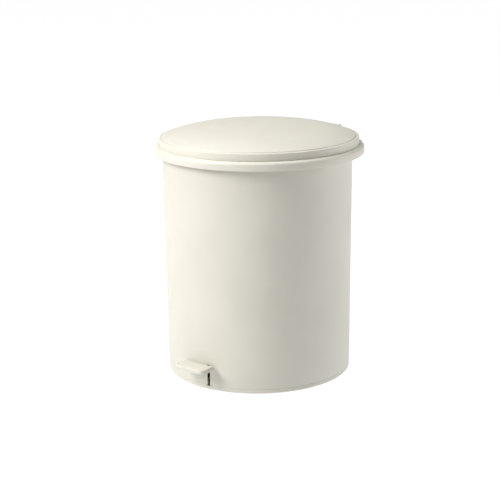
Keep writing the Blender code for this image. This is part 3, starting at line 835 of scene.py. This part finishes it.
class PEDALCAN_OT_collar(bpy.types.Operator):
    """Overhanging collar with bucket seat, hinge blocks and the gussets under its lip"""

    bl_idname = "pedal_can.collar"
    bl_label = "Collar"

    def execute(self, context):
        sizes, _, _ = settings()
        top, r = COLLAR_TOP, COLLAR_R
        skirt_in, skirt_out, seat_r, plate, skirt_low = 117.0, 119.4, 113.2, top - 3.0, top - 22
        profile = rounded(
            [
                (seat_r, top, 0.3), (r, top, sizes.collar_round / MM), (r, COLLAR_LOW, 0.45),
                (r - 2.6, COLLAR_LOW, 0.4), (r - 2.6, top - 5.5, 1.2), (r - 5.0, plate, 1.0),
                (skirt_out, plate, 0.5), (skirt_out, skirt_low, 0.8), (skirt_in, skirt_low, 0.8),
                (skirt_in, plate, 0.5), (seat_r, plate, 0.3),
            ],
            7,
        )
        collar = lathe("collar_ring_moulded", profile, (0, OFFSET))
        seat = lathe(
            "seat", rounded([(117.4, top, 0), (117.4, plate, 0), (103.5, plate, 0.6), (103.5, top, 1.0)]),
        )
        combine(collar, [seat], "UNION")
        y, z = HINGE
        foot = 303.0
        outline = rounded(
            [
                (y - HINGE_BLOCK_R, foot, 1), (y + 3.6, foot, 1.5), (y + 7.5, foot + 3.5, 1.5),
                (y + HINGE_BLOCK_R, z - 1.0, 1.5),
            ]
        )
        outline += arc_of(HINGE, HINGE_BLOCK_R, range(0, 181, 6))
        blocks = []
        for low, high in ((-HINGE_HALF, -KNUCKLE - 0.6), (KNUCKLE + 0.6, HINGE_HALF)):
            piece = prism("hinge_block", outline, low, high, "x")
            blocks.append(soften(piece, 0.5, 3))
        combine(collar, blocks, "UNION")
        cuts = [
            block("knuckle_way", (-KNUCKLE - 0.6, y - 7, z - 6.2), (KNUCKLE + 0.6, y + 20, z + 20)),
            block("lug_way", (LEVER_X - 6.4, 106.2, z - 40), (21.1, y - 8, z + 10)),
            block("cap_a", (-HINGE_HALF - 2.4, y - 4.2, z - 4), (-HINGE_HALF, y + 4.2, z + 9)),
            block("cap_b", (HINGE_HALF, y - 4.2, z - 4), (HINGE_HALF + 2.4, y + 4.2, z + 9)),
            bar("pin_way", HINGE, PIN_WAY_R, -60, 60),
        ]
        combine(collar, cuts, "DIFFERENCE")
        fit(collar, "can", cream(), "cream_plastic", "collar_ring")
        seed = prism(
            "gusset",
            [
                (r - 2.7, COLLAR_LOW + 1.2), (r - 2.7, top - 5.6), (r - 5.2, top - 3.1),
                (r - 7.0, top - 3.1),
            ],
            -0.6, 0.6, "x",
        )
        seed.data.transform(Matrix.Rotation(-math.pi / 2, 4, "Z"))
        ribs = round_axis(seed, "collar_gussets", sizes.gussets, math.pi / 36, (0, OFFSET, 0), cream())
        smooth(ribs)
        fit(ribs, "can", cream(), "cream_plastic")
        return {"FINISHED"}


def dome(r, power):
    return LID_RIM + 1.0 + DOME_RISE * (1 - (r / (LID_R - LID_STEP)) ** power)


def hinge_point(r, s):
    c, d = math.cos(HALF_SWING), math.sin(HALF_SWING)
    return (HINGE[0] - r * c - s * d, HINGE[1] - r * d + s * c)


class PEDALCAN_OT_lid(bpy.types.Operator):
    """Domed lid with its ledge, knuckle, lug and the ribs under the dome"""

    bl_idname = "pedal_can.lid"
    bl_label = "Lid"

    def execute(self, context):
        sizes, _, _ = settings()
        power = sizes.dome_power
        wall = LID_WALL
        edge = LID_R - LID_STEP
        stations = [
            edge * f
            for f in (
                0, 0.04, 0.1, 0.18, 0.26, 0.34, 0.42, 0.5, 0.57, 0.64, 0.7, 0.75, 0.8, 0.84, 0.88, 0.915,
                0.945, 0.968, 0.985,
            )
        ]
        outer = [(r, dome(r, power)) for r in stations]
        ledge = rounded(
            [
                (stations[-1], dome(stations[-1], power), 0), (edge - 0.35, LID_RIM + 1.05, 0.35),
                (edge + 0.05, LID_RIM, 0.25), (LID_R, LID_RIM, sizes.rim_round / MM),
                (LID_R, LID_LOW - SEAM, 0.12), (LID_R - wall, LID_LOW - SEAM, 0.3),
                (LID_R - wall, LID_RIM - wall, 0.8), (edge - 1.5, LID_RIM - wall, 0.8),
                (stations[-3], dome(stations[-3], power) - wall, 0),
            ],
            5, closed=False,
        )[1:]
        inner = [(r, dome(r, power) - wall) for r in reversed(stations[:-3])]
        lid = lathe("lid_moulded", outer + ledge + inner, (0, OFFSET))
        y, z = HINGE
        flat = y - LID_BACK_GAP
        combine(
            lid,
            [
                block(
                    "rear_cut", (-HINGE_HALF - 1.5, flat, LID_LOW - 10),
                    (HINGE_HALF + 1.5, flat + 40, LID_RIM + 30),
                )
            ],
            "DIFFERENCE",
        )
        wall_piece = block(
            "rear_wall", (-HINGE_HALF - 1.4, flat - wall, LID_LOW),
            (HINGE_HALF + 1.4, flat - 0.02, LID_RIM - 0.4), 0.5,
        )
        web = [
            (flat - 1.0, z + 5.0), (flat - 1.0, z - 1.0), (y - 3.4, z - 3.6),
            *arc_of(HINGE, 5, range(-120, 91, 7)),
        ]
        knuckle = soften(prism("knuckle", web, -KNUCKLE, KNUCKLE, "x"), 0.4, 3)
        lug_outline = rounded(
            [
                (*hinge_point(18.6, -5.4), 1.5), (127.4, 302.5, 1.5),
                *[
                    (y, dome(math.hypot(LEVER_X, y - OFFSET), power) - wall / 2, 0)
                    for y in (127.4, 118.9, 110.4)
                ],
                (*hinge_point(32.3, 5.0), 3.0), (*hinge_point(32.3, -5.4), 3.0),
            ]
        )
        lug = soften(prism("lug", lug_outline, LEVER_X - 1.5, LEVER_X + 1.5, "x"), 0.3, 2)
        combine(lid, [wall_piece, knuckle, lug], "UNION")
        slot = rounded(
            [(*hinge_point(r, s), 2.0) for r, s in ((20.4, 3.1), (20.4, -3.1), (30.7, -3.1), (30.7, 3.1))]
        )
        combine(
            lid,
            [
                prism("slot", slot, LEVER_X - 5, LEVER_X + 5, "x"),
                bar("pin_way", HINGE, PIN_WAY_R, -60, 60),
            ],
            "DIFFERENCE",
        )
        fit(lid, "lid_body", cream(), "cream_plastic", "lid")
        radii = [14 + 66 * k / 10 for k in range(11)]
        upper = [(r, dome(r, power) - wall - 0.02) for r in radii]
        lower = [
            (r, dome(r, power) - wall - 2.4 * math.sin(math.pi * (0.12 + 0.76 * k / 10)))
            for k, r in enumerate(radii)
        ]
        seed = prism("rib", upper + lower[::-1], -0.7, 0.7, "x")
        seed.data.transform(Matrix.Rotation(-math.pi / 2, 4, "Z"))
        ribs = round_axis(seed, "lid_ribs", sizes.lid_ribs, 0.0, (0, OFFSET, 0), cream())
        smooth(ribs)
        fit(ribs, "lid_body", cream(), "cream_plastic")
        return {"FINISHED"}


class PEDALCAN_OT_stops(bpy.types.Operator):
    """Three rubber stops under the shut lid"""

    bl_idname = "pedal_can.stops"
    bl_label = "Lid stops"

    def execute(self, context):
        _, finish, _ = settings()
        rubber = matt_rubber("matt_rubber", finish.rubber)
        for k in range(3):
            low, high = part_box("lid_stop_%d" % (k + 1))
            centre = ((low.x + high.x) / 2 / MM, (low.y + high.y) / 2 / MM)
            z0, z1 = low.z / MM, high.z / MM
            stop = lathe(
                "lid_stop_%d_moulded" % (k + 1),
                rounded(
                    [(0, z1, 0), (2.7, z1, 0.8), (3.4, z1 - 1.6, 0.5), (3.4, z0, 0.3), (0, z0, 0)], 4,
                ),
                centre, 40,
            )
            fit(stop, "can", rubber, "black_rubber", "lid_stop_%d" % (k + 1))
        return {"FINISHED"}


class PEDALCAN_OT_hinge(bpy.types.Operator):
    """Steel hinge pin with domed ends, its two rings and the axle's pieces"""

    bl_idname = "pedal_can.hinge"
    bl_label = "Hinge pin and axle"

    def execute(self, context):
        _, finish, _ = settings()
        steel = plated_steel("drawn_steel_across", finish.steel, 0.3, 0)
        rubber = matt_rubber("matt_rubber", finish.rubber)
        low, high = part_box("hinge_pin")
        pin = tube(
            "hinge_pin_drawn", [(low.x / MM, *HINGE), (high.x / MM, *HINGE)], 2.0, (0, 0, 1), sides=32,
            cap=0.6,
        )
        fit(pin, "can", steel, "steel_wire", "hinge_pin")
        low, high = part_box("pedal_axle")
        axle = tube(
            "pedal_axle_drawn", [(low.x / MM, *PIVOT), (high.x / MM, *PIVOT)], 2.5, (0, 0, 1), sides=32,
            cap=0.6,
        )
        fit(axle, "can", steel, "steel_wire", "pedal_axle")
        for node in (
            "pin_cap_left", "pin_cap_right", "axle_ring_left", "axle_ring_right", "rod_ring_lower",
            "rod_ring_upper",
        ):
            low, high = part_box(node)
            y, z = (low.y + high.y) / 2 / MM, (low.z + high.z) / 2 / MM
            outer = (high.z - low.z) / 2 / MM
            bore = {"p": 2.04, "a": 2.54, "r": 2.04}[node[0]]
            ring = tube(
                node + "_pressed", [(low.x / MM, y, z), (high.x / MM, y, z)], outer, (0, 0, 1),
                inner=bore, sides=40,
            )
            soften(ring, 0.3, 3)
            fit(ring, "rod" if node[0] == "r" else "can", rubber, "black_rubber", node)
        return {"FINISHED"}


class PEDALCAN_OT_pedal(bpy.types.Operator):
    """Foot pad with a soft top edge, and the lever's steel"""

    bl_idname = "pedal_can.pedal"
    bl_label = "Pedal"

    def execute(self, context):
        sizes, finish, _ = settings()
        half = side("pedal_pad", 1, 0)
        low, top, front = side("pedal_pad", 0, 2), PAD_TOP, PAD_FRONT
        back_r = body_r(30) + 2.8
        corner = sizes.pad_corner / MM

        def plan(inset):
            r = corner - inset
            pts = arc_of((half - corner, front + corner), r, range(-90, 1, 6))
            width, reach = half - inset, back_r + inset
            pts += [(x, -math.sqrt(reach ** 2 - x ** 2)) for x in (width * (1 - k / 12) for k in range(25))]
            return pts + arc_of((corner - half, front + corner), r, range(180, 271, 6))

        rows = [
            (low, 1.3), (low + 0.35, 0.5), (low + 1.1, 0.0), (top - 2.1, 0.0), (top - 1.45, 0.12),
            (top - 0.9, 0.42), (top - 0.45, 0.86), (top - 0.14, 1.45), (top, 2.2),
        ]
        points = [(x, y, z) for z, inset in rows for x, y in plan(inset)]
        n = len(points) // len(rows)
        faces = [tuple(range(n)), tuple(range(len(points) - n, len(points)))]
        faces += [
            (k * n + i, k * n + (i + 1) % n, (k + 1) * n + (i + 1) % n, (k + 1) * n + i)
            for k in range(len(rows) - 1)
            for i in range(n)
        ]
        pad = mesh_object("pedal_pad_moulded", points, faces, 50)
        combine(
            pad,
            [
                block(
                    "pocket", (LEVER_X - 1.7, -(body_r(30) + 18.3), top - 4.9),
                    (LEVER_X + 1.7, -100, top - 1.9),
                )
            ],
            "DIFFERENCE",
        )
        fit(pad, "pedal", cream(), "cream_plastic", "pedal_pad")
        dress("pedal_lever", plated_steel("drawn_steel_along", finish.steel, 0.34, 1))
        return {"FINISHED"}


class PEDALCAN_OT_rod(bpy.types.Operator):
    """Push rod bent across at both ends, and its two guides"""

    bl_idname = "pedal_can.rod"
    bl_label = "Push rod"

    def execute(self, context):
        _, finish, _ = settings()
        low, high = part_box("push_rod")
        x0, x1 = low.x / MM, high.x / MM - 2.0
        y, z0, z1 = (low.y + high.y) / 2 / MM, low.z / MM + 2.0, high.z / MM - 2.0
        corners = rounded([(x0, z0, 0), (x1, z0, 2.2), (x1, z1, 2.2), (x0, z1, 0)], 8, closed=False)
        rod = tube("push_rod_drawn", [(x, y, z) for x, z in corners], 2.0, (0, 1, 0), sides=24, cap=0.5)
        fit(rod, "rod", plated_steel("drawn_steel_upright", finish.steel, 0.32, 2), "steel_wire", "push_rod")
        grey = moulded_plastic("grey_moulded_plastic", finish.grey, 0.55, 0.00004)
        for tag in ("lower", "upper"):
            dress("rod_guide_" + tag, grey)
        return {"FINISHED"}


class PEDALCAN_OT_bucket(bpy.types.Operator):
    """Inner bucket with rolled flange, two stiffening beads and bail holes"""

    bl_idname = "pedal_can.bucket"
    bl_label = "Inner bucket"

    def execute(self, context):
        _, finish, _ = settings()
        low, top, flange = BUCKET_LOW, side("inner_bucket", 1, 2), BUCKET_FLANGE
        r, r_low, wall = 101.0, 93.0, 1.6
        shoulder = top - 24
        beads = []
        for k in range(41):
            z = low + 4 + (shoulder - low - 4) * k / 40
            lift = sum(0.55 * math.exp(-((z - c) / 2.6) ** 2) for c in (low + 42, low + 150))
            beads.append((r_low + (r - r_low) * k / 40 - lift, z))
        heel = [(0, low, 0), (r_low - 4, low, 2.5), (r_low, low + 4, 2.0), (r_low, low + 8, 0)]
        mouth = [
            (r, shoulder, 0), (r, top - 2, 0.6), (flange, top - 2, 0.5), (flange, top, 0.8),
            (r - wall, top, 1.0), (r - wall, shoulder, 0),
        ]
        corner = [
            (r_low - 1.7, low + 8, 0), (r_low - 1.8, low + 5, 2.0), (r_low - 4.8, low + 2, 2.5),
            (0, low + 2, 0),
        ]
        heel, mouth, corner = (rounded(points, 5, closed=False) for points in (heel, mouth, corner))
        outside = [(0, low), *heel[1:-1], *beads[1:], *mouth[1:]]
        inside = [(x - wall, z + 0.6) for x, z in reversed(beads[1:-1])] + corner[1:]
        bucket = lathe("inner_bucket_moulded", outside + inside)
        combine(bucket, [bar("bail_holes", (0, BAIL_Z), 2.0, -130, 130, 32)], "DIFFERENCE")
        fit(
            bucket, "bucket", moulded_plastic("grey_bucket_plastic", finish.bucket, 0.5, 0.00005),
            "bucket_plastic", "inner_bucket",
        )
        return {"FINISHED"}


class PEDALCAN_OT_bail(bpy.types.Operator):
    """Wire bail of the bucket with its ringed grip"""

    bl_idname = "pedal_can.bail"
    bl_label = "Bail"

    def execute(self, context):
        sizes, finish, _ = settings()
        radius = 93.4
        end = side("bucket_bail", 1, 0)
        arc = arc_of((0, 0), radius, range(-10, -171, -3))
        start = [(end, 0), (97.6, 0), (96.2, -0.3), (94.9, -1.2), (94.2, -2.8), (93.9, -6), (93.2, -11)]
        path = start + arc[1:-1] + [(-x, y) for x, y in reversed(start)]
        wire = tube("bucket_bail_drawn", [(x, y, BAIL_Z) for x, y in path], 1.5, (0, 0, 1), sides=16, cap=0.4)
        fit(
            wire, "bail", plated_steel("drawn_steel_wire", finish.steel, 0.28, 2), "steel_wire",
            "bucket_bail",
        )
        grey = moulded_plastic("grey_moulded_plastic", finish.grey, 0.55, 0.00004)
        mesh = bpy.data.meshes.new("bail_grip_ringed")
        grip = bpy.data.objects.new("bail_grip_ringed", mesh)
        bpy.context.scene.collection.objects.link(grip)
        run_tree(
            grip, grip_tree(),
            {
                "Arc radius": radius * MM, "Half angle": math.radians(24), "Thickness": 0.0042,
                "Rings": sizes.grip_rings, "Finish": grey,
            },
        )
        grip.data.transform(Matrix.Translation((0, 0, BAIL_Z * MM)))
        tidy(grip, 50)
        fit(grip, "bail", grey, "grey_plastic", "bail_grip")
        return {"FINISHED"}


# ---------------------------------------------------------------- stage


def area(name, place, target, size, power, colour=(1, 1, 1)):
    data = bpy.data.lights.new(name, "AREA")
    data.shape = "RECTANGLE"
    data.size, data.size_y = size
    data.energy = power
    data.color = colour
    obj = bpy.data.objects.new(name, data)
    obj.location = place
    obj.rotation_euler = (Vector(target) - Vector(place)).to_track_quat("-Z", "Y").to_euler()
    bpy.context.scene.collection.objects.link(obj)
    return obj


class PEDALCAN_OT_stage(bpy.types.Operator):
    """Pale floor, soft lights and the camera"""

    bl_idname = "pedal_can.stage"
    bl_label = "Stage"

    def execute(self, context):
        _, _, studio = settings()
        scene = context.scene
        edge, floor_top = 60000, -0.05
        floor = lathe("studio_floor", [(0, floor_top), (edge, floor_top), (edge, -200), (0, -200)], steps=96)
        material, nodes, links, shader = graph("pale_floor")
        coords = nodes.new("ShaderNodeTexCoord")
        tint(
            nodes, links, noise(nodes, links, coords, 3, 2), (0.12, 0.12, 0.12), (0.13, 0.13, 0.13),
            shader.inputs["Base Color"],
        )
        shader.inputs["Roughness"].default_value = 1.0
        shader.inputs["Specular IOR Level"].default_value = 0.0
        shader.inputs["Emission Color"].default_value = (1, 1, 1, 1)
        shader.inputs["Emission Strength"].default_value = 0.98
        floor.data.materials.append(material)
        world = bpy.data.worlds.new("soft_room")
        world.use_nodes = True
        world.node_tree.nodes["Background"].inputs["Color"].default_value = (1.0, 0.995, 0.985, 1)
        world.node_tree.nodes["Background"].inputs["Strength"].default_value = 0.1
        scene.world = world
        a, e = studio.azimuth, studio.elevation
        aim = Vector((0, 0, 0.165))
        back = Vector((math.sin(a) * math.cos(e), -math.cos(a) * math.cos(e), math.sin(e)))
        camera = bpy.data.objects.new("camera", bpy.data.cameras.new("camera"))
        scene.collection.objects.link(camera)
        camera.rotation_mode = "QUATERNION"
        camera.location = aim + back * studio.distance
        look = (-back).to_track_quat("-Z", "Y").to_matrix()
        camera.rotation_quaternion = (look @ Matrix.Rotation(-studio.roll, 3, "Z")).to_quaternion()
        camera.data.lens = studio.lens
        camera.data.sensor_width = 36
        camera.data.shift_x = -0.0164
        camera.data.shift_y = -0.0048
        scene.camera = camera
        right = Vector((math.cos(a), math.sin(a), 0))
        toward = Vector((math.sin(a), -math.cos(a), 0))
        up = Vector((0, 0, 1))
        area(
            "key_left", aim - right * 1.8 + toward * 0.75 + up * 1.3, aim, (1.0, 1.2), studio.key,
            (1.0, 0.99, 0.97),
        )
        area("fill_right", aim + right * 1.8 - toward * 0.35 + up * 0.3, aim, (0.9, 1.4), studio.fill)
        area("top_soft", aim + up * 1.9 - right * 0.3, aim, (1.6, 1.6), studio.top)
        return {"FINISHED"}


class PEDALCAN_PT_panel(bpy.types.Panel):
    """Lists the pieces, their sizes and finishes"""

    bl_idname = "PEDALCAN_PT_panel"
    bl_label = "Pedal trash can"
    bl_space_type = "VIEW_3D"
    bl_region_type = "UI"
    bl_category = "Pedal Can"

    def draw(self, context):
        layout = self.layout
        for group, names in (
            ("pedal_can_sizes", PedalCanSizes), ("pedal_can_finish", PedalCanFinish),
            ("pedal_can_studio", PedalCanStudio),
        ):
            box = layout.box()
            for name in names.__annotations__:
                box.prop(getattr(context.scene, group), name)
        for operator in PIECES:
            layout.operator(operator.bl_idname)


PIECES = (
    PEDALCAN_OT_shell, PEDALCAN_OT_base, PEDALCAN_OT_feet, PEDALCAN_OT_collar, PEDALCAN_OT_lid,
    PEDALCAN_OT_stops, PEDALCAN_OT_hinge, PEDALCAN_OT_pedal, PEDALCAN_OT_rod, PEDALCAN_OT_bucket,
    PEDALCAN_OT_bail, PEDALCAN_OT_stage,
)
GROUPS = (PedalCanSizes, PedalCanFinish, PedalCanStudio)


def register():
    for cls in (*GROUPS, *PIECES, PEDALCAN_PT_panel):
        bpy.utils.register_class(cls)
    bpy.types.Scene.pedal_can_sizes = PointerProperty(type=PedalCanSizes)
    bpy.types.Scene.pedal_can_finish = PointerProperty(type=PedalCanFinish)
    bpy.types.Scene.pedal_can_studio = PointerProperty(type=PedalCanStudio)


def unregister():
    for name in ("pedal_can_sizes", "pedal_can_finish", "pedal_can_studio"):
        delattr(bpy.types.Scene, name)
    for cls in reversed((*GROUPS, *PIECES, PEDALCAN_PT_panel)):
        bpy.utils.unregister_class(cls)


def main():
    register()
    bpy.context.scene.view_settings.view_transform = "Standard"
    for operator in PIECES:
        group, name = operator.bl_idname.split(".")
        getattr(getattr(bpy.ops, group), name)()
    bpy.context.view_layer.update()


if __name__ == "__main__":
    main()
